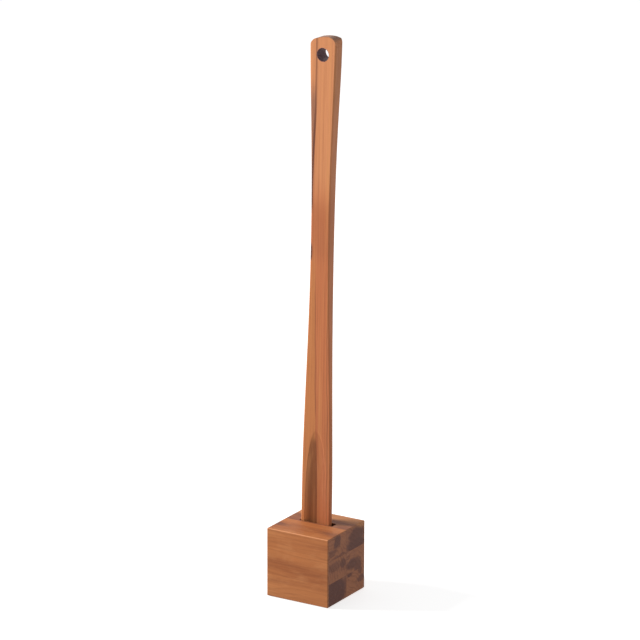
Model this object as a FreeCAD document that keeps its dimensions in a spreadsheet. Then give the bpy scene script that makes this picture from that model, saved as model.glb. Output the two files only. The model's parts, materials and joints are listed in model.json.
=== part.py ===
# Long wooden shoehorn standing in a cube-shaped block stand.
#
# Frame: millimetres, +Z up, +Y towards the back. The origin is on the floor, under the middle of
# the stand. The shoehorn leans back a little in its slot and lifts out along its own length.

import FreeCAD, Part
import os

from FreeCAD import Rotation, Vector
from Sketcher import Constraint

DOC = FreeCAD.newDocument("ShoehornAndStand")
SHEET = DOC.addObject("Spreadsheet::Sheet", "Sizes")

SIZES = {
    # stand: two columns of three staves, glued into a block that is close to a cube
    "block_width": 91,
    "stave_depth": 45.5,
    "stave_height": 30.5,
    "edge_radius": 1.2,
    # slot for the blade, cut down through the rear staves, its middle a little left of theirs
    "slot_width": 49.2,
    "slot_aside": 1.8,
    "slot_depth": 11.6,
    "slot_front": 2.4,
    # felt pads under the stand
    "pad_radius": 8,
    "pad_thickness": 1,
    "pad_inset": 14,
    # how the shoehorn stands in the slot: it leans back, near the slot's left end
    "lean_angle": 1.43,
    "slot_play": 0.3,
    "side_play": 0.8,
    "tip_gap": 0.5,
    # handle end and hanging hole: the end's crown is an arc whose middle lies to the right, so
    # the end slants up that way
    "horn_length": 693,
    "hole_radius": 8.5,
    "hole_from_end": 23.8,
    "hole_rim_radius": 0.4,
    "end_corner_radius": 12,
    "end_crown_radius": 100,
    "end_crown_aside": 17,
    "end_half_width": 18.8,
    "end_back_radius": 14,
    # blade tip, and the scoop in the blade's front face
    "tip_radius": 24,
    "scoop_radius": 30,
    "scoop_depth": 4.8,
    "scoop_length": 184,
    "scoop_runout": 110,
    "scoop_overrun": 16,
    # eased edges of the shoehorn
    "front_edge_radius": 1.8,
    "back_corner_share": 0.55,
}

# The shoehorn's sections, evenly spaced from the tip to the handle's end: width of the flat front,
# depth of the straight sides, and how far the rounded back stands out behind them.
STATIONS = [
    (43.6, 3.4, 4.0),
    (43.0, 4.7, 4.7),
    (39.5, 5.0, 5.0),
    (32.8, 7.5, 5.8),
    (28.1, 10.4, 6.5),
    (28.2, 11.6, 7.0),
    (33.0, 12.4, 8.1),
    (38.0, 13.4, 9.5),
]
STATION_SIZES = ("width", "side", "bulge")

CLEAR = 5  # how far a cutting profile runs past the wood
NEAR = 0.01  # how closely an edge lies on a face to count as on it


def fill_sheet():
    """Write every driving dimension into the sheet, with its name as the alias."""
    cells = dict(SIZES)
    for number, station in enumerate(STATIONS):
        for size_name, value in zip(STATION_SIZES, station):
            cells[f"station{number}_{size_name}"] = value
    for row, (alias, value) in enumerate(cells.items(), start=1):
        SHEET.set(f"A{row}", alias)
        SHEET.set(f"B{row}", str(value))
        SHEET.setAlias(f"B{row}", alias)
    DOC.recompute()


def size(alias):
    return float(getattr(SHEET, alias))


def new_body(name):
    body = DOC.addObject("PartDesign::Body", name)
    body.Label = name
    return body


def new_sketch(body, name, role):
    """Make a sketch on one of the body's own origin planes, such as XY_Plane."""
    sketch = body.newObject("Sketcher::SketchObject", name)
    planes = [item for item in body.Origin.OriginFeatures if item.Role == role]
    sketch.AttachmentSupport = (planes[0], "")
    sketch.MapMode = "FlatFace"
    return sketch


def drive(sketch, name, constraint, formula):
    """Add a dimension to a sketch and bind it to a formula on the sheet's cells."""
    index = sketch.addConstraint(constraint)
    sketch.renameConstraint(index, name)
    sketch.setExpression(f"Constraints.{name}", formula)


def polygon(sketch, points):
    """Draw a closed outline of straight lines and join their ends."""
    first = sketch.GeometryCount
    count = len(points)
    for index in range(count):
        ends = (Vector(*points[index], 0), Vector(*points[(index + 1) % count], 0))
        sketch.addGeometry(Part.LineSegment(*ends), False)
    for index in range(count):
        following = first + (index + 1) % count
        sketch.addConstraint(Constraint("Coincident", first + index, 2, following, 1))


def open_lines(sketch, points):
    """Draw straight lines from point to point, leaving the outline open for arcs to close."""
    for start, end in zip(points, points[1:]):
        sketch.addGeometry(Part.LineSegment(Vector(*start, 0), Vector(*end, 0)), False)


def cut_through(body, name, sketch):
    """Cut a sketch's outline right through the body, both ways."""
    pocket = body.newObject("PartDesign::Pocket", name)
    pocket.Profile = sketch
    pocket.Type = "ThroughAll"
    pocket.SideType = "Symmetric"
    DOC.recompute()
    return pocket


def edge_names(feature, wanted):
    """Name the feature's edges for which wanted(edge) is true."""
    edges = enumerate(feature.Shape.Edges, start=1)
    return [f"Edge{number}" for number, edge in edges if wanted(edge)]


def round_edges(body, name, wanted, formula):
    """Fillet the chosen edges of the body's last feature."""
    base = body.Tip
    fillet = body.newObject("PartDesign::Fillet", name)
    fillet.Base = (base, edge_names(base, wanted))
    fillet.setExpression("Radius", formula)
    DOC.recompute()
    return fillet


# ---------------------------------------------------------------- stand


def add_stave_block(body, column):
    """Pad one stave: column -1 is the front column and +1 the rear one."""
    sketch = new_sketch(body, f"{body.Name}_outline", "XY_Plane")
    half = size("block_width") / 2
    outer = column * size("stave_depth")
    polygon(sketch, [(-half, 0), (half, 0), (half, outer), (-half, outer)])
    for line in (0, 2):
        sketch.addConstraint(Constraint("Horizontal", line))
    for line in (1, 3):
        sketch.addConstraint(Constraint("Vertical", line))
    sketch.addConstraint(Constraint("Symmetric", 0, 1, 0, 2, -1, 1))
    drive(sketch, "Width", Constraint("DistanceX", 0, 1, 0, 2, 2 * half), "Sizes.block_width")
    if column < 0:
        depth = Constraint("DistanceY", 1, 2, 1, 1, -outer)
    else:
        depth = Constraint("DistanceY", 1, 1, 1, 2, outer)
    drive(sketch, "Depth", depth, "Sizes.stave_depth")
    pad = body.newObject("PartDesign::Pad", f"{body.Name}_pad")
    pad.Profile = sketch
    pad.setExpression("Length", "Sizes.stave_height")
    DOC.recompute()


def add_slot(body):
    """Cut the shoehorn's slot through a rear stave."""
    sketch = new_sketch(body, f"{body.Name}_slot_outline", "XY_Plane")
    half = size("slot_width") / 2
    left = -size("slot_aside") - half
    right = -size("slot_aside") + half
    front = size("slot_front")
    back = front + size("slot_depth")
    polygon(sketch, [(left, front), (right, front), (right, back), (left, back)])
    for line in (0, 2):
        sketch.addConstraint(Constraint("Horizontal", line))
    for line in (1, 3):
        sketch.addConstraint(Constraint("Vertical", line))
    reach = "Sizes.slot_width / 2 + Sizes.slot_aside"
    drive(sketch, "Left", Constraint("DistanceX", 0, 1, -1, 1, -left), reach)
    drive(sketch, "Width", Constraint("DistanceX", 0, 1, 0, 2, 2 * half), "Sizes.slot_width")
    drive(sketch, "Front", Constraint("DistanceY", -1, 1, 0, 1, front), "Sizes.slot_front")
    drive(sketch, "Depth", Constraint("DistanceY", 1, 1, 1, 2, back - front), "Sizes.slot_depth")
    cut_through(body, f"{body.Name}_slot", sketch)


def make_stave(column_name, column, row_name, row):
    """Make one glued stave of the stand, with the edges it shows on the outside eased."""
    body = new_body(f"stave_{column_name}_{row_name}")
    add_stave_block(body, column)
    if column > 0 and row > 0:
        add_slot(body)
    half = size("block_width") / 2
    outer = column * size("stave_depth")
    end_height = {0: 0, 1: None, 2: size("stave_height")}[row]

    def is_outside(edge):
        """Tell the edges of the whole block from those on glued faces and in the slot."""
        middle = edge.CenterOfMass
        at_side = abs(abs(middle.x) - half) < NEAR
        at_face = abs(middle.y - outer) < NEAR
        at_end = end_height is not None and abs(middle.z - end_height) < NEAR
        return at_side + at_face + at_end > 1

    round_edges(body, f"{body.Name}_eased", is_outside, "Sizes.edge_radius")
    body.setExpression("Placement.Base.z", f"Sizes.pad_thickness + {row} * Sizes.stave_height")
    return body


def make_pad(column_name, column, side_name, side):
    """Make one round felt pad, stuck under a corner of the stand."""
    pad = DOC.addObject("Part::Cylinder", f"felt_pad_{column_name}_{side_name}")
    pad.Label = pad.Name
    inset = "(Sizes.block_width / 2 - Sizes.pad_inset)"
    pad.setExpression("Radius", "Sizes.pad_radius")
    pad.setExpression("Height", "Sizes.pad_thickness")
    pad.setExpression("Placement.Base.x", f"{side} * {inset}")
    pad.setExpression("Placement.Base.y", f"{column} * {inset}")
    return pad


def make_stand():
    columns = {"front": -1, "rear": 1}
    rows = {"bottom": 0, "middle": 1, "top": 2}
    sides = {"left": -1, "right": 1}
    pieces = []
    for column_name, column in columns.items():
        for row_name, row in rows.items():
            pieces.append(make_stave(column_name, column, row_name, row))
        for side_name, side in sides.items():
            pieces.append(make_pad(column_name, column, side_name, side))
    return pieces


# ---------------------------------------------------------------- shoehorn


def section_arcs(width, side, bulge):
    """Work out the radii of a section's front corners, back corners and crest."""
    front = size("front_edge_radius")
    corner = bulge * size("back_corner_share")
    reach = width / 2 - corner
    crest = (reach**2 + bulge**2 - corner**2) / (2 * (bulge - corner))
    return front, corner, crest


def section_sketch(body, number):
    """Draw one cross-section: a flat front, straight sides and a full, rounded back."""
    cell = f"Sizes.station{number}_"
    width, side, bulge = (size(f"station{number}_{name}") for name in STATION_SIZES)
    front, corner, crest = section_arcs(width, side, bulge)
    half = width / 2
    crest_middle = Vector(0, side + bulge - crest, 0)
    corner_middle = Vector(half - corner, side, 0)
    outward = (corner_middle - crest_middle).normalize()
    diagonal = Vector(1, -1, 0).normalize()
    toward_crest = (outward + Vector(1, 0, 0)).normalize()
    front_end = Vector(half - front, 0, 0)
    side_start = Vector(half, front, 0)
    side_end = Vector(half, side, 0)
    crest_end = corner_middle + outward * corner
    front_arc = [front_end, Vector(half - front, front, 0) + diagonal * front, side_start]
    back_arc = [side_end, corner_middle + toward_crest * corner, crest_end]

    def mirrored(points):
        return [Vector(-point.x, point.y, 0) for point in reversed(points)]

    sketch = new_sketch(body, f"section{number}", "XY_Plane")
    share = f"{number} / {len(STATIONS) - 1}"
    sketch.setExpression("AttachmentOffset.Base.z", f"Sizes.horn_length * {share}")
    left_end = mirrored([front_end])[0]
    sketch.addGeometry(Part.LineSegment(left_end, front_end), False)
    sketch.addGeometry(Part.Arc(*front_arc), False)
    sketch.addGeometry(Part.LineSegment(side_start, side_end), False)
    sketch.addGeometry(Part.Arc(*back_arc), False)
    crest_arc = [crest_end, Vector(0, side + bulge, 0), mirrored([crest_end])[0]]
    sketch.addGeometry(Part.Arc(*crest_arc), False)
    sketch.addGeometry(Part.Arc(*mirrored(back_arc)), False)
    sketch.addGeometry(Part.LineSegment(*mirrored([side_start, side_end])), False)
    sketch.addGeometry(Part.Arc(*mirrored(front_arc)), False)
    for index in range(sketch.GeometryCount):
        sketch.addConstraint(Constraint("Tangent", index, 2, (index + 1) % sketch.GeometryCount, 1))
    sketch.addConstraint(Constraint("Symmetric", 0, 1, 0, 2, -2))
    sketch.addConstraint(Constraint("PointOnObject", 0, 1, -1))
    for line in (2, 6):
        sketch.addConstraint(Constraint("Vertical", line))
    sketch.addConstraint(Constraint("Equal", 2, 6))
    sketch.addConstraint(Constraint("Equal", 1, 7))
    sketch.addConstraint(Constraint("Equal", 3, 5))
    drive(sketch, "Width", Constraint("DistanceX", 6, 2, 2, 1, width), f"{cell}width")
    drive(sketch, "Side", Constraint("DistanceY", -1, 1, 2, 2, side), f"{cell}side")
    drive(sketch, "Front", Constraint("Radius", 1, front), "Sizes.front_edge_radius")
    back = f"({cell}bulge * Sizes.back_corner_share)"
    drive(sketch, "Corner", Constraint("Radius", 3, corner), back)
    squares = f"({cell}width / 2 - {back})^2 + {cell}bulge^2 - {back}^2"
    drive(sketch, "Crest", Constraint("Radius", 4, crest), f"({squares}) / (2 * ({cell}bulge - {back}))")
    return sketch


def add_blank(body):
    """Loft the shoehorn's solid through its sections."""
    sections = [section_sketch(body, number) for number in range(len(STATIONS))]
    loft = body.newObject("PartDesign::AdditiveLoft", "blank")
    loft.Profile = sections[0]
    loft.Sections = sections[1:]
    DOC.recompute()


def add_scoop(body):
    """Hollow the blade's front: a round cutter runs up from the tip and rises out of the wood."""
    radius = size("scoop_radius")
    depth = size("scoop_depth")
    runout = size("scoop_runout")
    rise = runout + size("scoop_overrun")
    straight = size("scoop_length") - runout
    bend = runout**2 / (2 * depth) + depth / 2 - radius
    line_y = depth - radius
    path = new_sketch(body, "scoop_path", "YZ_Plane")
    start = Vector(line_y, -CLEAR, 0)
    turn = Vector(line_y, straight, 0)
    circle = Part.Circle(turn - Vector(bend, 0, 0), Vector(0, 0, 1), bend)
    path.addGeometry(Part.LineSegment(start, turn), False)
    path.addGeometry(Part.ArcOfCircle(circle, 0, rise / bend), False)
    path.addConstraint(Constraint("Vertical", 0))
    path.addConstraint(Constraint("Tangent", 0, 2, 1, 1))
    across = "Sizes.scoop_radius - Sizes.scoop_depth"
    drive(path, "Start", Constraint("DistanceY", 0, 1, -1, 1, CLEAR), f"{CLEAR} mm")
    drive(path, "Across", Constraint("DistanceX", 0, 1, -1, 1, -line_y), across)
    run = Constraint("DistanceY", -1, 1, 0, 2, straight)
    drive(path, "Straight", run, "Sizes.scoop_length - Sizes.scoop_runout")
    slope = "Sizes.scoop_runout^2 / (2 * Sizes.scoop_depth)"
    bend_formula = f"{slope} + Sizes.scoop_depth / 2 - Sizes.scoop_radius"
    drive(path, "Bend", Constraint("Radius", 1, bend), bend_formula)
    climb = Constraint("DistanceY", 0, 2, 1, 2, rise)
    drive(path, "Rise", climb, "Sizes.scoop_runout + Sizes.scoop_overrun")
    cutter = new_sketch(body, "scoop_cutter", "XY_Plane")
    cutter.AttachmentOffset.Base = Vector(0, 0, -CLEAR)
    cutter.addGeometry(Part.Circle(Vector(0, line_y, 0), Vector(0, 0, 1), radius), False)
    cutter.addConstraint(Constraint("PointOnObject", 0, 3, -2))
    drive(cutter, "Radius", Constraint("Radius", 0, radius), "Sizes.scoop_radius")
    drive(cutter, "Across", Constraint("DistanceY", 0, 3, -1, 1, -line_y), across)
    scoop = body.newObject("PartDesign::SubtractivePipe", "scoop")
    scoop.Profile = cutter
    scoop.Spine = path
    DOC.recompute()


def add_tip(body):
    """Round the blade's tip, seen from the front, to an arc."""
    radius = size("tip_radius")
    sketch = new_sketch(body, "tip_outline", "XZ_Plane")
    outline = [(radius, radius), (radius, -CLEAR), (-radius, -CLEAR), (-radius, radius)]
    open_lines(sketch, outline)
    ends = (Vector(-radius, radius, 0), Vector(radius, radius, 0))
    sketch.addGeometry(Part.Arc(ends[0], Vector(0, 0, 0), ends[1]), False)
    sketch.addConstraint(Constraint("Coincident", 0, 2, 1, 1))
    sketch.addConstraint(Constraint("Coincident", 1, 2, 2, 1))
    sketch.addConstraint(Constraint("Horizontal", 1))
    sketch.addConstraint(Constraint("Tangent", 2, 2, 3, 1))
    sketch.addConstraint(Constraint("Tangent", 3, 2, 0, 1))
    sketch.addConstraint(Constraint("Vertical", 0))
    sketch.addConstraint(Constraint("Vertical", 2))
    sketch.addConstraint(Constraint("PointOnObject", 3, 3, -2))
    drive(sketch, "Radius", Constraint("Radius", 3, radius), "Sizes.tip_radius")
    drive(sketch, "Rise", Constraint("DistanceY", -1, 1, 3, 3, radius), "Sizes.tip_radius")
    drive(sketch, "Below", Constraint("DistanceY", 0, 2, -1, 1, CLEAR), f"{CLEAR} mm")
    cut_through(body, "tip", sketch)


def end_corner(side):
    """Work out the end's right (1) or left (-1) corner: where it leaves the crown, and its arc."""
    corner = size("end_corner_radius")
    crown = size("end_crown_radius")
    half = size("end_half_width")
    crown_centre = Vector(size("end_crown_aside"), size("horn_length") - crown, 0)
    centre_x = side * (half - corner)
    climb = ((crown - corner) ** 2 - (centre_x - crown_centre.x) ** 2) ** 0.5
    centre = Vector(centre_x, crown_centre.y + climb, 0)
    outward = (centre - crown_centre).normalize()
    leaving = centre + outward * corner
    middle = centre + (outward + Vector(side, 0, 0)).normalize() * corner
    return leaving, middle, Vector(side * half, centre.y, 0)


def add_end(body):
    """Shape the handle's end, seen from the front: a slanting crown between two round corners."""
    length = size("horn_length")
    half = size("end_half_width")
    crown = size("end_crown_radius")
    aside = size("end_crown_aside")
    right = end_corner(1)
    left = end_corner(-1)
    wide = half + CLEAR
    top = length + CLEAR
    outline = [(half, right[2].y), (wide, right[2].y), (wide, top)]
    outline += [(-wide, top), (-wide, left[2].y), (-half, left[2].y)]
    sketch = new_sketch(body, "end_outline", "XZ_Plane")
    open_lines(sketch, outline)
    crest = Vector(0, length - crown + (crown**2 - aside**2) ** 0.5, 0)
    sketch.addGeometry(Part.Arc(*reversed(left)), False)
    sketch.addGeometry(Part.Arc(left[0], crest, right[0]), False)
    sketch.addGeometry(Part.Arc(*right), False)
    for index in range(4):
        sketch.addConstraint(Constraint("Coincident", index, 2, index + 1, 1))
    sketch.addConstraint(Constraint("Coincident", 4, 2, 5, 2))
    sketch.addConstraint(Constraint("Tangent", 5, 1, 6, 2))
    sketch.addConstraint(Constraint("Tangent", 6, 1, 7, 2))
    sketch.addConstraint(Constraint("Coincident", 7, 1, 0, 1))
    for line in (0, 2, 4):
        sketch.addConstraint(Constraint("Horizontal", line))
    for line in (1, 3):
        sketch.addConstraint(Constraint("Vertical", line))
    sketch.addConstraint(Constraint("Horizontal", 7, 3, 7, 1))
    sketch.addConstraint(Constraint("Horizontal", 5, 3, 5, 2))
    sketch.addConstraint(Constraint("Equal", 5, 7))
    drive(sketch, "Corner", Constraint("Radius", 7, size("end_corner_radius")), "Sizes.end_corner_radius")
    drive(sketch, "Crown", Constraint("Radius", 6, crown), "Sizes.end_crown_radius")
    base = Constraint("DistanceY", -1, 1, 6, 3, length - crown)
    drive(sketch, "Base", base, "Sizes.horn_length - Sizes.end_crown_radius")
    drive(sketch, "Aside", Constraint("DistanceX", -1, 1, 6, 3, aside), "Sizes.end_crown_aside")
    drive(sketch, "Right", Constraint("DistanceX", -1, 1, 7, 1, half), "Sizes.end_half_width")
    drive(sketch, "Left", Constraint("DistanceX", 5, 2, -1, 1, half), "Sizes.end_half_width")
    drive(sketch, "PastRight", Constraint("DistanceX", 0, 1, 0, 2, CLEAR), f"{CLEAR} mm")
    drive(sketch, "PastLeft", Constraint("DistanceX", 4, 1, 4, 2, CLEAR), f"{CLEAR} mm")
    drive(sketch, "Above", Constraint("DistanceY", -1, 1, 1, 2, top), f"Sizes.horn_length + {CLEAR}")
    cut_through(body, "end", sketch)


def add_end_back(body):
    """Round the back of the handle's end over, seen from the side."""
    last = f"station{len(STATIONS) - 1}"
    radius = size("end_back_radius")
    length = size("horn_length")
    depth = size(f"{last}_side") + size(f"{last}_bulge")
    centre = Vector(depth - radius, length - radius, 0)
    diagonal = Vector(1, 1, 0).normalize()
    outline = [
        (depth - radius, length),
        (depth - radius, length + CLEAR),
        (depth + CLEAR, length + CLEAR),
        (depth + CLEAR, length - radius),
        (depth, length - radius),
    ]
    sketch = new_sketch(body, "end_back_outline", "YZ_Plane")
    open_lines(sketch, outline)
    arc = (Vector(*outline[-1], 0), centre + diagonal * radius, Vector(*outline[0], 0))
    sketch.addGeometry(Part.Arc(*arc), False)
    for index in range(5):
        sketch.addConstraint(Constraint("Coincident", index, 2, (index + 1) % 5, 1))
    for line in (0, 2):
        sketch.addConstraint(Constraint("Vertical", line))
    for line in (1, 3):
        sketch.addConstraint(Constraint("Horizontal", line))
    sketch.addConstraint(Constraint("Vertical", 4, 3, 0, 1))
    sketch.addConstraint(Constraint("Horizontal", 4, 3, 3, 2))
    drive(sketch, "Radius", Constraint("Radius", 4, radius), "Sizes.end_back_radius")
    drive(sketch, "Top", Constraint("DistanceY", -1, 1, 0, 1, length), "Sizes.horn_length")
    back = Constraint("DistanceX", -1, 1, 3, 2, depth)
    drive(sketch, "Back", back, f"Sizes.{last}_side + Sizes.{last}_bulge")
    drive(sketch, "Above", Constraint("DistanceY", 0, 1, 0, 2, CLEAR), f"{CLEAR} mm")
    drive(sketch, "Behind", Constraint("DistanceX", 3, 2, 3, 1, CLEAR), f"{CLEAR} mm")
    cut_through(body, "end_back", sketch)


def add_hole(body):
    """Bore the hanging hole square to the flat front and take the sharpness off its rims."""
    radius = size("hole_radius")
    height = size("horn_length") - size("hole_from_end")
    sketch = new_sketch(body, "hole_outline", "XZ_Plane")
    sketch.addGeometry(Part.Circle(Vector(0, height, 0), Vector(0, 0, 1), radius), False)
    sketch.addConstraint(Constraint("PointOnObject", 0, 3, -2))
    drive(sketch, "Radius", Constraint("Radius", 0, radius), "Sizes.hole_radius")
    centre = Constraint("DistanceY", -1, 1, 0, 3, height)
    drive(sketch, "Height", centre, "Sizes.horn_length - Sizes.hole_from_end")
    cut_through(body, "hanging_hole", sketch)

    def is_rim(edge):
        box = edge.BoundBox
        around = abs(box.XLength - 2 * radius) < NEAR and abs(box.ZLength - 2 * radius) < NEAR
        return around and abs(box.Center.z - height) < NEAR

    round_edges(body, "hole_rims", is_rim, "Sizes.hole_rim_radius")


def make_shoehorn():
    """Carve the shoehorn and stand it in the slot, leaning back, by the slot's left end."""
    body = new_body("shoehorn")
    add_blank(body)
    add_scoop(body)
    add_tip(body)
    add_end(body)
    add_end_back(body)
    add_hole(body)
    reach = "Sizes.slot_aside + Sizes.slot_width / 2 - Sizes.station0_width / 2 - Sizes.side_play"
    body.setExpression("Placement.Base.x", f"-({reach})")
    body.setExpression("Placement.Base.y", "Sizes.slot_front + Sizes.slot_play")
    body.setExpression("Placement.Base.z", "Sizes.pad_thickness + Sizes.stave_height + Sizes.tip_gap")
    body.Placement.Rotation = Rotation(Vector(1, 0, 0), 0)
    body.setExpression("Placement.Rotation.Angle", "-Sizes.lean_angle * 1 deg")
    return body


# ---------------------------------------------------------------- output


def check(piece):
    """Stop if a piece has no sound shape."""
    shape = piece.Shape
    if shape.isNull() or not shape.isValid() or len(shape.Solids) != 1:
        raise RuntimeError(f"{piece.Label} has no sound solid")


def main():
    fill_sheet()
    pieces = make_stand()
    pieces.append(make_shoehorn())
    DOC.recompute()
    for item in DOC.Objects:
        if "Invalid" in item.State or "Error" in item.State:
            raise RuntimeError(f"{item.Name} failed: {item.State}")
    for piece in pieces:
        check(piece)
    os.makedirs("parts", exist_ok=True)
    for piece in pieces:
        piece.Shape.exportStep(f"parts/{piece.Label}.step")


main()
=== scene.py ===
import json
import math

import bpy
from mathutils import Matrix, Vector


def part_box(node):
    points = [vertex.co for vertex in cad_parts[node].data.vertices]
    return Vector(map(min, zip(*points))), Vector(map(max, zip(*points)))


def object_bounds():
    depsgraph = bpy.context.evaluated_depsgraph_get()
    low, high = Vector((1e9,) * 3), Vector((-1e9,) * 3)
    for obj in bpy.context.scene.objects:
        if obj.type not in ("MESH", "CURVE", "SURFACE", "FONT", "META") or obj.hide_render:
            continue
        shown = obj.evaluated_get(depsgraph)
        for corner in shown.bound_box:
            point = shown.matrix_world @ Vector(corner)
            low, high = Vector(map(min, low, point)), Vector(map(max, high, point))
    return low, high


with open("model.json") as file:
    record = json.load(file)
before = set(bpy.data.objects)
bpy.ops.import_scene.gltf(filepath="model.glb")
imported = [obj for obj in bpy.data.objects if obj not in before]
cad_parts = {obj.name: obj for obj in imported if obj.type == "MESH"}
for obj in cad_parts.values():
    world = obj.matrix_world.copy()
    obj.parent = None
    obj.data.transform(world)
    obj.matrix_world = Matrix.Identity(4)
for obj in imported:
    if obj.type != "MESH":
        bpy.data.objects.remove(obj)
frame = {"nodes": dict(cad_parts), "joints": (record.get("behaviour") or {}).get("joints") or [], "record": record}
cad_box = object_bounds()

MM = 0.001

# Camera at the photograph's viewing angle: azimuth from the front towards +X, distance along the
# floor from the stand, height above the floor, and a long lens. It rolls a little, and aims a little
# above the object's middle and to its right.
CAMERA_AZIMUTH = math.radians(31.3)
CAMERA_DISTANCE = 5.0
CAMERA_HEIGHT = 1.855
CAMERA_LENS = 233.5
CAMERA_ROLL = math.radians(0.18)
CAMERA_ASIDE = 4.3 * MM
CAMERA_ABOVE = 1.9 * MM

WHITE = (1.0, 1.0, 1.0, 1.0)


# ---------------------------------------------------------------- node building


class Graph:
    """A material's node tree, with short calls for the nodes used here."""

    def __init__(self, name):
        self.material = bpy.data.materials.new(name)
        self.material.use_nodes = True
        self.tree = self.material.node_tree
        self.shader = self.tree.nodes["Principled BSDF"]

    def node(self, kind, **settings):
        made = self.tree.nodes.new(kind)
        for key, value in settings.items():
            setattr(made, key, value)
        return made

    def feed(self, socket, value):
        """Link an output to a socket, or set the socket's own value."""
        if isinstance(value, bpy.types.NodeSocket):
            self.tree.links.new(value, socket)
        else:
            socket.default_value = value

    def math(self, operation, *values, clamp=False):
        made = self.node("ShaderNodeMath", operation=operation, use_clamp=clamp)
        for socket, value in zip(made.inputs, values):
            self.feed(socket, value)
        return made.outputs[0]

    def product(self, *values):
        total = values[0]
        for value in values[1:]:
            total = self.math("MULTIPLY", total, value)
        return total

    def vector(self, x, y, z):
        made = self.node("ShaderNodeCombineXYZ")
        for socket, value in zip(made.inputs, (x, y, z)):
            self.feed(socket, value)
        return made.outputs[0]

    def noise(self, coordinate, detail=2.0, roughness=0.5):
        made = self.node("ShaderNodeTexNoise")
        self.feed(made.inputs["Vector"], coordinate)
        self.feed(made.inputs["Scale"], 1.0)
        self.feed(made.inputs["Detail"], detail)
        self.feed(made.inputs["Roughness"], roughness)
        return made.outputs[0]

    def ramp(self, value, low, high, out_low=0.0, out_high=1.0, kind="SMOOTHSTEP"):
        """Carry value from its range low to high onto out_low to out_high, and no further."""
        made = self.node("ShaderNodeMapRange", interpolation_type=kind)
        for socket, number in zip(made.inputs, (value, low, high, out_low, out_high)):
            self.feed(socket, number)
        return made.outputs[0]

    def reach(self, first, second):
        """How far a point with two coordinates lies from where both are nothing."""
        square = self.math("MULTIPLY", second, second)
        return self.math("SQRT", self.math("MULTIPLY_ADD", first, first, square))

    def within(self, value, low, high, soft):
        """One between low and high, fading to nothing over the soft distance outside them."""
        rise = self.ramp(value, low - soft, low)
        return self.math("MULTIPLY", rise, self.ramp(value, high, high + soft, 1.0, 0.0))

    def spot(self, first, second, centre, radii):
        """A soft-edged oval in two coordinates."""
        parts = []
        for value, middle, radius in zip((first, second), centre, radii):
            parts.append(self.math("DIVIDE", self.math("SUBTRACT", value, middle), radius))
        return self.ramp(self.reach(*parts), 0.7, 1.25, 1.0, 0.0)

    def mix(self, share, first, second):
        made = self.node("ShaderNodeMix", data_type="RGBA")
        self.feed(made.inputs["Factor"], share)
        for name, value in (("A", first), ("B", second)):
            socket = [item for item in made.inputs if item.name == name and item.type == "RGBA"][0]
            self.feed(socket, value)
        return [item for item in made.outputs if item.type == "RGBA"][0]

    def bump(self, height, strength, distance):
        made = self.node("ShaderNodeBump")
        self.feed(made.inputs["Strength"], strength)
        self.feed(made.inputs["Distance"], distance)
        self.feed(made.inputs["Height"], height)
        return made.outputs[0]


def srgb(red, green, blue):
    """A colour named by its usual 0 to 255 values, as the shader's linear one."""
    return tuple(((value / 255 + 0.055) / 1.055) ** 2.4 for value in (red, green, blue)) + (1.0,)


# ---------------------------------------------------------------- wood


class Grain:
    """Where a point lies in the wood, in millimetres: along the grain, across it and deep into it."""

    def __init__(self, graph, origin, along, across, deep):
        place = graph.node("ShaderNodeTexCoord").outputs["Object"]
        moved = graph.node("ShaderNodeVectorMath", operation="SUBTRACT")
        graph.feed(moved.inputs[0], place)
        graph.feed(moved.inputs[1], origin)
        self.graph = graph
        self.along = self.measure(moved.outputs[0], along)
        self.across = self.measure(moved.outputs[0], across)
        self.deep = self.measure(moved.outputs[0], deep)
        self.direction = along

    def measure(self, place, direction):
        return self.graph.math("DIVIDE", self.dot(place, direction), MM)

    def dot(self, vector, direction):
        made = self.graph.node("ShaderNodeVectorMath", operation="DOT_PRODUCT")
        self.graph.feed(made.inputs[0], vector)
        self.graph.feed(made.inputs[1], direction)
        return made.outputs["Value"]

    def end_grain(self):
        """One where the surface cuts across the fibres, nothing where it runs along them."""
        normal = self.graph.node("ShaderNodeNewGeometry").outputs["True Normal"]
        facing = self.graph.math("ABSOLUTE", self.dot(normal, self.direction))
        return self.graph.ramp(facing, 0.4, 0.85)

    def facing(self, direction):
        """One where the surface faces a direction, nothing where it is edge-on or faces away."""
        normal = self.graph.node("ShaderNodeNewGeometry").outputs["True Normal"]
        return self.graph.ramp(self.dot(normal, direction), 0.35, 0.85)

    def stretched(self, along, sideways, seed):
        """A noise coordinate that is drawn out along the grain."""
        scale = self.graph.math
        return self.graph.vector(
            scale("MULTIPLY_ADD", self.along, along, seed),
            scale("MULTIPLY_ADD", self.across, sideways, seed * 1.7),
            scale("MULTIPLY_ADD", self.deep, sideways, seed * 2.3),
        )

    def distance(self, across, deep):
        """How far a point is from a line along the grain."""
        side = self.graph.math("SUBTRACT", self.across, across)
        return self.graph.reach(side, self.graph.math("SUBTRACT", self.deep, deep))


def growth_rings(graph, grain, look):
    """How dark the late wood is at a point: thin arcs round the pith, uneven in width."""
    wobble = graph.noise(grain.stretched(0.011, 0.05, look["seed"]), detail=2.0)
    radius = grain.distance(*look["pith"])
    radius = graph.math("MULTIPLY_ADD", wobble, look["wobble"], radius)
    ring = graph.math("DIVIDE", radius, look["ring"])
    uneven = graph.noise(graph.vector(graph.math("MULTIPLY", ring, 0.4), look["seed"], 0.0), detail=1.0)
    ring = graph.math("MULTIPLY_ADD", uneven, 1.6, ring)
    phase = graph.math("FRACT", ring)
    rise = graph.ramp(phase, 0.30, 0.90)
    fall = graph.ramp(phase, 0.90, 1.0, 1.0, 0.0)
    patchy = graph.noise(grain.stretched(0.016, 0.06, look["seed"] + 9.1), detail=2.0)
    return graph.product(rise, fall, graph.ramp(patchy, 0.30, 0.62, 0.25, 1.0))


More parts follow.
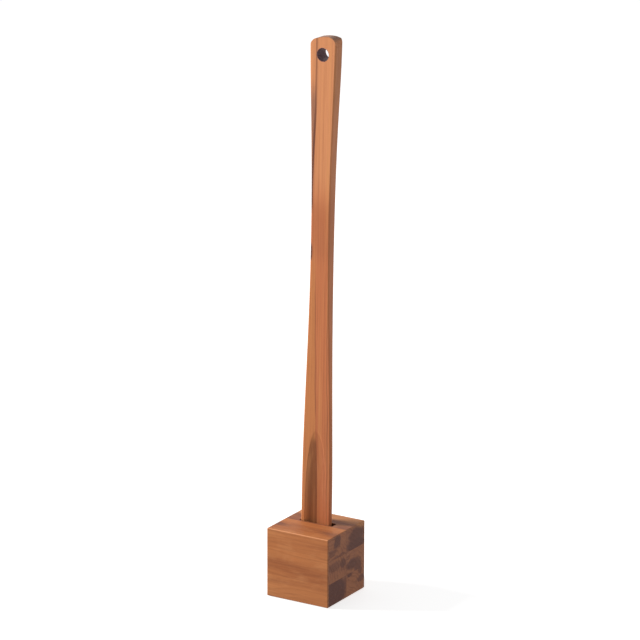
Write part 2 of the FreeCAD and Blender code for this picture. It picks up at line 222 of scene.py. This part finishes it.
# What pores, fibres and rings do to the surface: how rough they are, and how far they stand out
PORE_ROUGHNESS = 0.18
FIBRE_ROUGHNESS = 0.10
PORE_RELIEF = -1.0
FIBRE_RELIEF = 0.5
RING_RELIEF = 0.35
RELIEF_STRENGTH = 0.30
RELIEF_DEPTH = 0.15 * MM


def wood_surface(graph, grain, look, colour):
    """Add growth rings, fibres and pores to a wood's broad colour, and finish the shader."""
    late = growth_rings(graph, grain, look)
    streak = graph.noise(grain.stretched(0.007, 0.45, look["seed"] + 5.9), detail=3.0, roughness=0.6)
    fibre = graph.noise(grain.stretched(0.02, 1.3, look["seed"] + 3.1), detail=3.0, roughness=0.6)
    fine = graph.noise(grain.stretched(0.05, 4.2, look["seed"] + 7.7), detail=2.0, roughness=0.6)
    pore = graph.ramp(fine, 0.60, 0.72)
    ends = graph.math("MULTIPLY_ADD", grain.end_grain(), look["ringed"], look["late"])
    tone = graph.math("MULTIPLY", late, ends)
    tone = graph.math("ADD", tone, graph.ramp(streak, 0.52, 0.78, 0.0, look["streak"]))
    tone = graph.math("ADD", tone, graph.ramp(fibre, 0.45, 0.75, 0.0, look["fibre"]))
    tone = graph.math("MULTIPLY_ADD", pore, look["pore"], tone, clamp=True)
    colour = graph.mix(tone, colour, look["dark"])
    pale = graph.ramp(streak, 0.30, 0.46, look["streak"], 0.0)
    colour = graph.mix(pale, colour, look["pale"])
    graph.feed(graph.shader.inputs["Base Color"], colour)
    rough = graph.math("MULTIPLY_ADD", pore, PORE_ROUGHNESS, look["rough"])
    rough = graph.math("MULTIPLY_ADD", fibre, FIBRE_ROUGHNESS, rough)
    graph.feed(graph.shader.inputs["Roughness"], rough)
    graph.shader.inputs["Specular IOR Level"].default_value = look["gloss"]
    relief = graph.math("MULTIPLY", fibre, FIBRE_RELIEF)
    relief = graph.math("MULTIPLY_ADD", pore, PORE_RELIEF, relief)
    relief = graph.math("MULTIPLY_ADD", late, RING_RELIEF, relief)
    bumped = graph.bump(relief, RELIEF_STRENGTH, RELIEF_DEPTH)
    graph.feed(graph.shader.inputs["Normal"], bumped)
    return graph.material


def broad_colour(graph, grain, look):
    """The slow change of colour across a board, in bands that run along the grain."""
    band = graph.noise(grain.stretched(0.006, 0.07, look["figure"] + 1.3), detail=3.0, roughness=0.55)
    return graph.mix(graph.ramp(band, 0.32, 0.68), look["light"], look["mid"])


def dress(node, material):
    """Give a CAD node one material over its whole surface."""
    slots = frame["nodes"][node].data.materials
    slots.clear()
    slots.append(material)


# ---------------------------------------------------------------- stand

# A wood's look: figure and seed choose its pattern, wobble and ring are how uneven and how wide its
# growth rings are in millimetres, late to pore are how much each darkens it (ringed is what end grain
# adds to late), rough and gloss are the shader's own, and the rest are colours.
STAVE_LOOK = {
    "figure": 31.0,
    "wobble": 16.0,
    "ring": 5.2,
    "late": 0.14,
    "ringed": 0.20,
    "streak": 0.11,
    "fibre": 0.10,
    "pore": 0.22,
    "rough": 0.50,
    "gloss": 0.14,
    "light": srgb(188, 117, 69),
    "mid": srgb(157, 92, 55),
    "dark": srgb(96, 52, 32),
    "pale": srgb(208, 142, 92),
    "heart": srgb(94, 57, 51),
    "end": srgb(166, 107, 78),
}

# Each stave's own wood. The pith, the dark heartwood patches and the pale sapwood are placed across
# (Y) and up (Z) from the block's middle, in millimetres. A patch is a centre, two radii and how dark
# it is; the sapwood is a centre and two radii.
STAVES = {
    "stave_front_top": {
        "seed": 11.0,
        "pith": (-40.0, -12.0),
        "hearts": [
            ((-23.0, 37.0), (8.5, 10.0), 0.85),
            ((-36.0, 25.0), (13.0, 4.5), 0.55),
            ((-17.0, 16.5), (15.0, 2.4), 0.6),
        ],
    },
    "stave_front_middle": {
        "seed": 23.5,
        "pith": (-64.0, -16.0),
        "hearts": [
            ((-8.0, 4.5), (6.0, 7.0), 0.8),
            ((-29.0, 5.0), (19.0, 6.5), 0.55),
            ((-6.0, -4.0), (10.0, 3.0), 0.35),
        ],
    },
    "stave_front_bottom": {
        "seed": 37.2,
        "pith": (-20.0, -78.0),
        "hearts": [((-27.0, -31.0), (29.0, 21.0), 1.0), ((-2.0, -28.0), (12.0, 14.0), 0.6)],
    },
    "stave_rear_top": {
        "seed": 41.9,
        "pith": (-22.0, -30.0),
        "light": srgb(144, 89, 62),
        "mid": srgb(126, 76, 56),
        "hearts": [((25.0, 32.0), (20.0, 11.0), 0.85), ((24.0, 21.0), (25.0, 8.0), 0.95)],
        "sapwood": ((45.0, 47.0), (20.0, 8.0)),
    },
    "stave_rear_middle": {
        "seed": 58.4,
        "pith": (10.0, -30.0),
        "hearts": [
            ((14.0, -4.0), (15.0, 7.5), 0.9),
            ((28.0, -10.0), (10.0, 13.0), 0.8),
            ((4.0, 8.0), (5.0, 3.0), 0.4),
        ],
    },
    "stave_rear_bottom": {
        "seed": 63.3,
        "pith": (-18.0, -84.0),
        "hearts": [
            ((9.0, -16.5), (8.0, 4.0), 0.9),
            ((33.0, -18.0), (6.0, 6.0), 0.7),
            ((36.0, -29.0), (10.0, 4.0), 0.7),
        ],
    },
}

SEAM_WOOD = srgb(62, 38, 28)
# raw wood with painted shade, for the walls inside the slot
SLOT_RAW_AND_SHADE = srgb(48, 30, 24)
# pale wood for the edges' faint wear and for the painted highlight on the front top edge
WORN_AND_HIGHLIGHT_WOOD = srgb(224, 158, 112)

# The staves that the slot runs through
SLOTTED = ("stave_rear_top", "stave_rear_middle")

# In millimetres: how near the slot's sides a surface counts as its wall, how far inside the block's
# outline and behind the glue line between its columns a corner can only be the slot's, and how wide
# the rubbed-pale edge and the seam are.
SLOT_WALL = 0.4
WELL_INSIDE = 5.0
BEHIND_GLUE = 1.0
WORN_WIDTH = 1.8
SEAM_WIDTH = 0.45


def heartwood(graph, grain, look):
    """How dark the heartwood is at a point: uneven patches, faint halfway between the two ends."""
    push = graph.noise(grain.stretched(0.02, 0.10, look["seed"] + 5.2), detail=4.0, roughness=0.62)
    pull = graph.noise(grain.stretched(0.02, 0.10, look["seed"] + 8.8), detail=4.0, roughness=0.62)
    across = graph.math("MULTIPLY_ADD", push, 14.0, graph.math("SUBTRACT", grain.across, 7.0))
    deep = graph.math("MULTIPLY_ADD", pull, 10.0, graph.math("SUBTRACT", grain.deep, 5.0))
    total = 0.0
    for centre, radii, share in look["hearts"]:
        patch = graph.math("MULTIPLY", graph.spot(across, deep, centre, radii), share)
        total = graph.math("MAXIMUM", patch, total)

    # the front face itself is cut from clear wood
    front = graph.ramp(grain.across, 1.0 - BLOCK_HALF.y, 3.5 - BLOCK_HALF.y)
    ends = graph.ramp(graph.math("ABSOLUTE", grain.along), 12.0, BLOCK_HALF.x - 2.0, 0.30, 1.0)
    return graph.product(total, front, ends)


def glue_line(graph, grain, name):
    """A thin dark line where a stave meets its neighbours, clearest on the end grain."""
    low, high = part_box(name)
    nearest = graph.math("ABSOLUTE", grain.across)
    for height in (low.z, high.z):
        place = (height - BLOCK_MIDDLE.z) / MM
        if abs(place) < BLOCK_HALF.z / 2:
            away = graph.math("ABSOLUTE", graph.math("SUBTRACT", grain.deep, place))
            nearest = graph.math("MINIMUM", nearest, away)
    line = graph.ramp(nearest, 0.05, SEAM_WIDTH, 0.45, 0.0)
    return graph.product(line, graph.ramp(grain.end_grain(), 0.0, 1.0, 0.35, 1.0))


def worn_edge_and_highlight(graph, grain):
    """Faint rubbed-pale wear along every edge, and a painted highlight along the front top edge."""
    near = []
    for value, half in zip((grain.along, grain.across, grain.deep), BLOCK_HALF):
        near.append(graph.ramp(graph.math("ABSOLUTE", value), half - WORN_WIDTH, half - 0.2))
    pairs = [graph.math("MULTIPLY", near[first], near[first - 1]) for first in range(3)]
    edges = graph.math("MAXIMUM", graph.math("MAXIMUM", *pairs[:2]), pairs[2])
    faint = graph.math("MULTIPLY", edges, 0.15)
    # painted highlight: the front top edge is made pale where the light catches it
    front = graph.ramp(grain.across, 1.5 - BLOCK_HALF.y, 0.1 - BLOCK_HALF.y)
    top = graph.ramp(grain.deep, BLOCK_HALF.z - 1.5, BLOCK_HALF.z - 0.1)
    return graph.math("MAXIMUM", graph.product(front, top, 0.9), faint)


def slot_corners():
    """The slot's lowest and highest X, then Y, in millimetres from the block's middle."""
    inner = []
    for vertex in frame["nodes"]["stave_rear_middle"].data.vertices:
        place = (vertex.co - BLOCK_MIDDLE) / MM
        aside = abs(place.x) < BLOCK_HALF.x - WELL_INSIDE
        if aside and BEHIND_GLUE < place.y < BLOCK_HALF.y - WELL_INSIDE:
            inner.append(place)
    limits = []
    for axis in (0, 1):
        values = [place[axis] for place in inner]
        limits.append((min(values), max(values)))
    return limits


def slot_wall(graph, grain):
    """One on the slot's walls, below its mouth."""
    (left, right), (front, back) = slot_corners()
    inside = graph.within(grain.along, left, right, SLOT_WALL)
    inside = graph.product(inside, graph.within(grain.across, front, back, SLOT_WALL))
    mouth = BLOCK_HALF.z
    return graph.product(inside, graph.ramp(grain.deep, mouth - 1.5, mouth - 0.3, 1.0, 0.0))


def stave_figure(graph, grain, look):
    """A stave's broad colour with pale mottling, and painted floor light that makes it paler towards the block's
    lower left.
    """
    colour = broad_colour(graph, grain, look)
    place = grain.stretched(0.030, 0.055, look["figure"] + 6.6)
    mottle = graph.noise(place, detail=3.0, roughness=0.6)
    colour = graph.mix(graph.ramp(mottle, 0.48, 0.72, 0.0, 0.30), colour, look["pale"])
    # painted light from the floor: paler towards the bottom, most of all at the left
    painted_floor_light = graph.ramp(grain.deep, 5.0 - BLOCK_HALF.z, -5.0, 0.22, 0.0)
    leftward = graph.ramp(grain.along, 30.0, -30.0, 0.6, 1.2)
    return graph.mix(graph.product(painted_floor_light, leftward), colour, look["pale"])


def stave_material(name, own):
    look = dict(STAVE_LOOK, **own)
    graph = Graph("wood_" + name)
    grain = Grain(graph, BLOCK_MIDDLE, (1, 0, 0), (0, 1, 0), (0, 0, 1))
    colour = stave_figure(graph, grain, look)
    colour = graph.mix(graph.math("MULTIPLY", grain.end_grain(), 0.75), colour, look["end"])
    dark = graph.math("MULTIPLY", heartwood(graph, grain, look), 0.92)
    colour = graph.mix(dark, colour, look["heart"])
    if "sapwood" in look:
        pale = graph.spot(grain.across, grain.deep, *look["sapwood"])
        colour = graph.mix(graph.math("MULTIPLY", pale, 0.7), colour, look["pale"])
    colour = graph.mix(glue_line(graph, grain, name), colour, SEAM_WOOD)
    if name in SLOTTED:
        # painted shade down the slot's walls, over their raw wood
        wall = graph.math("MULTIPLY", slot_wall(graph, grain), 0.8)
        colour = graph.mix(wall, colour, SLOT_RAW_AND_SHADE)
    # the edges' faint wear, and the painted highlight along the front top edge
    colour = graph.mix(worn_edge_and_highlight(graph, grain), colour, WORN_AND_HIGHLIGHT_WOOD)
    return wood_surface(graph, grain, look, colour)


stave_boxes = [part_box(name) for name in STAVES]
block_low = Vector(min(low[axis] for low, high in stave_boxes) for axis in range(3))
block_high = Vector(max(high[axis] for low, high in stave_boxes) for axis in range(3))
BLOCK_MIDDLE = (block_low + block_high) / 2
BLOCK_HALF = (block_high - block_low) / 2 / MM

for stave, own_look in STAVES.items():
    dress(stave, stave_material(stave, own_look))


# ---------------------------------------------------------------- felt


FELT_DARK = srgb(52, 46, 42)
FELT_PALE = srgb(92, 84, 76)
FELT_TUFT = 0.4 * MM
FELT_RELIEF = 0.3 * MM


def felt_material():
    """Rough grey felt with fine tufts."""
    graph = Graph("felt_pad")
    place = graph.node("ShaderNodeTexCoord").outputs["Object"]
    fluff = graph.node("ShaderNodeTexNoise")
    graph.feed(fluff.inputs["Vector"], place)
    graph.feed(fluff.inputs["Scale"], 1.0 / FELT_TUFT)
    graph.feed(fluff.inputs["Detail"], 4.0)
    colour = graph.mix(graph.ramp(fluff.outputs[0], 0.3, 0.7), FELT_DARK, FELT_PALE)
    graph.feed(graph.shader.inputs["Base Color"], colour)
    graph.shader.inputs["Roughness"].default_value = 0.95
    graph.shader.inputs["Specular IOR Level"].default_value = 0.1
    graph.feed(graph.shader.inputs["Normal"], graph.bump(fluff.outputs[0], 0.8, FELT_RELIEF))
    return graph.material


FELT = felt_material()
for node in frame["nodes"]:
    if node.startswith("felt_pad"):
        dress(node, FELT)


# ---------------------------------------------------------------- shoehorn

HORN_AXIS = Vector(frame["joints"][0]["axis"]).normalized()
HORN_ACROSS = Vector((1, 0, 0))
HORN_DEEP = HORN_AXIS.cross(HORN_ACROSS)

HORN_LOOK = {
    "seed": 71.0,
    "wobble": 4.0,
    "ring": 3.4,
    "pith": (-96.0, 34.0),
    "late": 0.14,
    "ringed": 0.0,
    "streak": 0.20,
    "fibre": 0.10,
    "pore": 0.18,
    "rough": 0.45,
    "gloss": 0.20,
    "dark": srgb(120, 62, 38),
    "pale": srgb(214, 142, 96),
}

RED_WOOD = srgb(192, 113, 70)
OLIVE_WOOD = srgb(192, 122, 71)
PALE_WOOD = srgb(208, 137, 90)
DULL_WOOD = srgb(166, 97, 60)
YELLOW_WOOD = srgb(212, 146, 86)
GREY_WOOD = srgb(142, 96, 74)
DARK_LINE = srgb(80, 42, 34)
# painted light for the shoehorn's shaded right side
RIGHT_SIDE_LIGHT = srgb(238, 152, 106)
HORN_END = srgb(138, 92, 66)
# painted shade for the inside of the hanging hole
BORE_SHADE = srgb(112, 74, 88)
# darker wood with painted shadow, for the scoop's left half
SCOOP_DARK_AND_SHADOW = srgb(112, 60, 32)
# red wood with painted shade, for the scoop's lit right wall
SCOOP_RED_AND_SHADE = srgb(150, 84, 48)
# painted light just inside the scoop's left lip
SCOOP_LIP_LIGHT = srgb(230, 154, 96)

# Lines in the figure, in millimetres: each one's start and end, along the shoehorn from its tip and
# across it from its middle. The last is the left limit of the scoop's darker wood and painted shadow.
MIDDLE_LINE = ((85, -0.5), (356, -5.3))
RIGHT_LINE = ((134, 16.3), (303, 13.1))
HANDLE_STREAK = ((490, -12.6), (630, -8.7))
SCOOP_LIMIT = ((86, -15.5), (165, -12.8))
LINE_SHARE = 0.45

# How much a line moves across for each millimetre deeper, on the sides
LINE_TILT = 0.15
STREAK_TILT = 0.45


def course(graph, along, line, kind="LINEAR"):
    """Where a line of the figure lies across the shoehorn."""
    start, end = line
    return graph.ramp(along, start[0], end[0], start[1], end[1], kind=kind)


def figure_line(graph, side, place, width):
    """One on a thin line in the figure, where side is at place."""
    away = graph.math("ABSOLUTE", graph.math("SUBTRACT", side, place))
    return graph.ramp(away, width * 0.3, width, 1.0, 0.0)


def horn_colour(graph, grain):
    """The shoehorn's broad colour: pale towards the handle's end, red below, with long stripes."""
    colour = graph.mix(graph.ramp(grain.along, 455, 525), RED_WOOD, PALE_WOOD)
    waist = graph.within(grain.along, 425, 465, 30.0)
    blade = graph.ramp(grain.along, 160, 240, 1.0, 0.0)
    dull = graph.product(graph.math("MAXIMUM", waist, blade), 0.40)
    colour = graph.mix(dull, colour, DULL_WOOD)
    stripe = graph.noise(grain.stretched(0.004, 0.30, HORN_LOOK["seed"] + 2.7), detail=2.0)
    colour = graph.mix(graph.ramp(stripe, 0.52, 0.68, 0.0, 0.35), colour, YELLOW_WOOD)
    return graph.mix(graph.ramp(stripe, 0.34, 0.48, 0.40, 0.0), colour, DULL_WOOD)


def blade_lines(graph, grain, colour):
    """Fine dark lines up the blade's middle and right edge, and olive wood left of the first."""
    along = grain.along
    drift = graph.noise(graph.vector(graph.math("MULTIPLY", along, 0.022), HORN_LOOK["seed"], 0.0))
    tilted = graph.math("MULTIPLY_ADD", grain.deep, LINE_TILT, grain.across)
    side = graph.math("ADD", tilted, graph.math("MULTIPLY_ADD", drift, 1.8, -0.9))

    middle = course(graph, along, MIDDLE_LINE)
    left = graph.ramp(graph.math("SUBTRACT", side, middle), -0.8, 0.2, 1.0, 0.0)
    left = graph.product(left, graph.ramp(along, 370, 450, 0.8, 0.0))
    colour = graph.mix(left, colour, OLIVE_WOOD)
    line = figure_line(graph, side, middle, 1.0)
    line = graph.product(line, graph.ramp(along, 340, 400, LINE_SHARE, 0.0))
    line = graph.product(line, graph.math("SUBTRACT", 1.0, graph.within(along, 175, 195, 20.0)))
    colour = graph.mix(line, colour, DARK_LINE)

    line = figure_line(graph, side, course(graph, along, RIGHT_LINE), 1.1)
    line = graph.product(line, graph.ramp(along, 300, 380, LINE_SHARE, 0.0))
    return graph.mix(line, colour, DARK_LINE)


def handle_streak(graph, grain, colour):
    """The dark streak down the handle's left, the grey wood outside it, and a fleck below it."""
    along = grain.along
    side = graph.math("MULTIPLY_ADD", grain.deep, STREAK_TILT, grain.across)
    streak = course(graph, along, HANDLE_STREAK, kind="SMOOTHSTEP")
    outside = graph.ramp(graph.math("SUBTRACT", side, streak), -0.9, 0.3, 1.0, 0.0)
    grey = graph.product(outside, graph.within(along, 500, 605, 40.0), 0.85)
    colour = graph.mix(grey, colour, GREY_WOOD)
    heavy = graph.product(graph.ramp(along, 462, 480), graph.ramp(along, 565, 640, 0.90, 0.42))
    line = graph.product(figure_line(graph, side, streak, 2.2), heavy)
    colour = graph.mix(line, colour, DARK_LINE)
    fleck = graph.spot(along, side, (416.0, -12.4), (11.0, 1.8))
    fleck = graph.product(fleck, graph.ramp(grain.deep, 1.0, 3.5, 0.85, 0.0))
    return graph.mix(fleck, colour, DARK_LINE)


def scoop_left(graph, grain, left, colour):
    """Darker wood with painted shadow left of the scoop's middle, with a blunt top, and painted light just inside
    its lip low down.
    """
    limit = course(graph, grain.along, SCOOP_LIMIT)
    # painted shadow over darker wood, shaped like the scoop's shadow
    shade = graph.ramp(graph.math("SUBTRACT", grain.across, limit), 0.0, 7.5, 0.0, 0.56)
    deepest = graph.ramp(grain.across, -5.5, -2.0, 1.0, 1.45)
    top = graph.ramp(grain.along, 163, 177, 1.0, 0.0)
    colour = graph.mix(graph.product(shade, deepest, left, top), colour, SCOOP_DARK_AND_SHADOW)
    # painted light just inside the lip, lifting the shade on the scoop's wall
    lip = graph.ramp(grain.deep, 0.0, 0.2)
    lip = graph.product(lip, graph.ramp(grain.deep, 0.6, 2.2, 0.55, 0.0))
    low = graph.ramp(grain.along, 135, 158, 1.0, 0.0)
    return graph.mix(graph.product(lip, left, low), colour, SCOOP_LIP_LIGHT)


def scooped(graph, grain, colour):
    """The colour the scoop shows: darker wood with painted shadow left of its middle, and red wood right of it
    with painted shade that evens out the wall facing the light.
    """
    front = grain.facing(-HORN_DEEP)
    left = graph.ramp(grain.across, -1.6, -0.4, 1.0, 0.0)
    colour = scoop_left(graph, grain, graph.product(left, front), colour)
    cut = graph.ramp(grain.deep, 0.0, 0.35)
    cut = graph.product(cut, graph.within(grain.across, -17, 17, 0.6))
    right = graph.product(graph.math("SUBTRACT", 1.0, left), front)
    # painted shade, darkest towards the lip where the wall faces the light most
    shade = graph.ramp(grain.across, 5, 13, 0.5, 1.0)
    blade = graph.ramp(grain.along, 205, 225, 1.0, 0.0)
    return graph.mix(graph.product(cut, right, shade, blade), colour, SCOOP_RED_AND_SHADE)


def bore_wall(graph):
    """One on the wall of the hanging hole."""
    mounts = frame["record"]["mounts"]
    hole = [mount for mount in mounts if mount["name"] == "hanging_hole"][0]
    place = Grain(graph, hole["pos_m"], HORN_AXIS, HORN_ACROSS, HORN_DEEP)
    radius = hole["dims"]["r_mm"]
    reach = graph.reach(place.across, place.along)
    return graph.ramp(reach, radius + 0.1, radius + 0.5, 1.0, 0.0)


def horn_material():
    graph = Graph("wood_shoehorn")
    low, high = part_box("shoehorn")
    tip = Vector(((low.x + high.x) / 2, low.y, low.z))
    grain = Grain(graph, tip, HORN_AXIS, HORN_ACROSS, HORN_DEEP)
    colour = horn_colour(graph, grain)
    colour = blade_lines(graph, grain, colour)
    colour = handle_streak(graph, grain, colour)
    colour = scooped(graph, grain, colour)

    # painted light on the right side, which faces away from the key light: strongest halfway up
    side = graph.product(grain.facing(HORN_ACROSS), graph.ramp(grain.along, 560, 640, 0.48, 0.18))
    side = graph.product(side, graph.ramp(grain.along, 150, 240, 0.4, 1.0))
    colour = graph.mix(side, colour, RIGHT_SIDE_LIGHT)
    colour = graph.mix(graph.math("MULTIPLY", grain.end_grain(), 0.9), colour, HORN_END)
    # painted shade on the wall of the hanging hole
    colour = graph.mix(graph.math("MULTIPLY", bore_wall(graph), 0.95), colour, BORE_SHADE)
    return wood_surface(graph, grain, HORN_LOOK, colour)


dress("shoehorn", horn_material())


# ---------------------------------------------------------------- studio

# The paper floor's outline, radius and height in metres: flat, then curving up into a wall that
# stands all round, behind the camera too.
FLOOR_OUTLINE = [
    (0.0, 0.0),
    (7.0, 0.0),
    (8.4, 0.25),
    (9.5, 1.0),
    (10.3, 2.2),
    (10.6, 4.0),
    (10.6, 8.0),
]
FLOOR_SIDES = 64
FLOOR_GREY = (0.6, 0.6, 0.6, 1.0)
FLOOR_GLOW = 0.7
WORLD_LIGHT = 0.42


def add_floor():
    """A wide, pale paper floor all round the object."""
    points = []
    for radius, height in FLOOR_OUTLINE:
        for step in range(FLOOR_SIDES):
            angle = 2 * math.pi * step / FLOOR_SIDES
            points.append((radius * math.cos(angle), radius * math.sin(angle), height))
    faces = []
    for ring in range(len(FLOOR_OUTLINE) - 1):
        inner = ring * FLOOR_SIDES
        outer = inner + FLOOR_SIDES
        for step in range(FLOOR_SIDES):
            following = (step + 1) % FLOOR_SIDES
            faces.append((inner + step, outer + step, outer + following, inner + following))
    data = bpy.data.meshes.new("floor")
    data.from_pydata(points, [], faces)
    data.validate()
    floor = bpy.data.objects.new("floor", data)
    bpy.context.scene.collection.objects.link(floor)
    graph = Graph("floor_paper")
    graph.shader.inputs["Base Color"].default_value = FLOOR_GREY
    graph.shader.inputs["Roughness"].default_value = 0.95
    graph.shader.inputs["Specular IOR Level"].default_value = 0.0
    graph.shader.inputs["Emission Color"].default_value = WHITE
    graph.shader.inputs["Emission Strength"].default_value = FLOOR_GLOW
    data.materials.append(graph.material)
    floor.visible_diffuse = False
    floor.visible_shadow = False


def add_light(name, azimuth, elevation, distance, width, power, colour):
    """A square soft light, aimed at the middle of the object. Its angles are in degrees."""
    data = bpy.data.lights.new(name, "AREA")
    data.shape = "SQUARE"
    data.size = width
    data.energy = power
    data.color = colour
    light = bpy.data.objects.new(name, data)
    flat = math.cos(math.radians(elevation))
    towards = Vector((
        math.sin(math.radians(azimuth)) * flat,
        -math.cos(math.radians(azimuth)) * flat,
        math.sin(math.radians(elevation)),
    ))
    aim = (cad_box[0] + cad_box[1]) / 2
    light.location = aim + towards * distance
    light.rotation_euler = towards.to_track_quat("Z", "Y").to_euler()
    bpy.context.scene.collection.objects.link(light)


def add_studio():
    add_floor()
    add_light("key", -66, 22, distance=2.6, width=0.6, power=100, colour=(1.0, 0.985, 0.96))
    add_light("back", 195, 35, distance=3.0, width=1.6, power=8, colour=(1.0, 0.99, 0.97))
    world = bpy.data.worlds.new("studio")
    world.use_nodes = True
    background = world.node_tree.nodes["Background"]
    background.inputs["Color"].default_value = WHITE
    background.inputs["Strength"].default_value = WORLD_LIGHT
    bpy.context.scene.world = world
    bpy.context.scene.view_settings.view_transform = "Standard"


def add_camera():
    """Aim a long lens at the object, from the photograph's viewing angle."""
    data = bpy.data.cameras.new("camera")
    data.lens = CAMERA_LENS
    data.clip_end = 50
    camera = bpy.data.objects.new("camera", data)
    right = Vector((math.cos(CAMERA_AZIMUTH), math.sin(CAMERA_AZIMUTH), 0))
    towards = Vector((math.sin(CAMERA_AZIMUTH), -math.cos(CAMERA_AZIMUTH), 0))
    middle = (cad_box[0].z + cad_box[1].z) / 2
    aim = Vector((0, 0, middle + CAMERA_ABOVE)) + right * CAMERA_ASIDE
    camera.location = towards * CAMERA_DISTANCE + Vector((0, 0, CAMERA_HEIGHT))
    away = (camera.location - aim).normalized()
    turn = away.to_track_quat("Z", "Y").to_matrix() @ Matrix.Rotation(CAMERA_ROLL, 3, "Z")
    camera.rotation_euler = turn.to_euler()
    bpy.context.scene.collection.objects.link(camera)
    bpy.context.scene.camera = camera


add_studio()
add_camera()
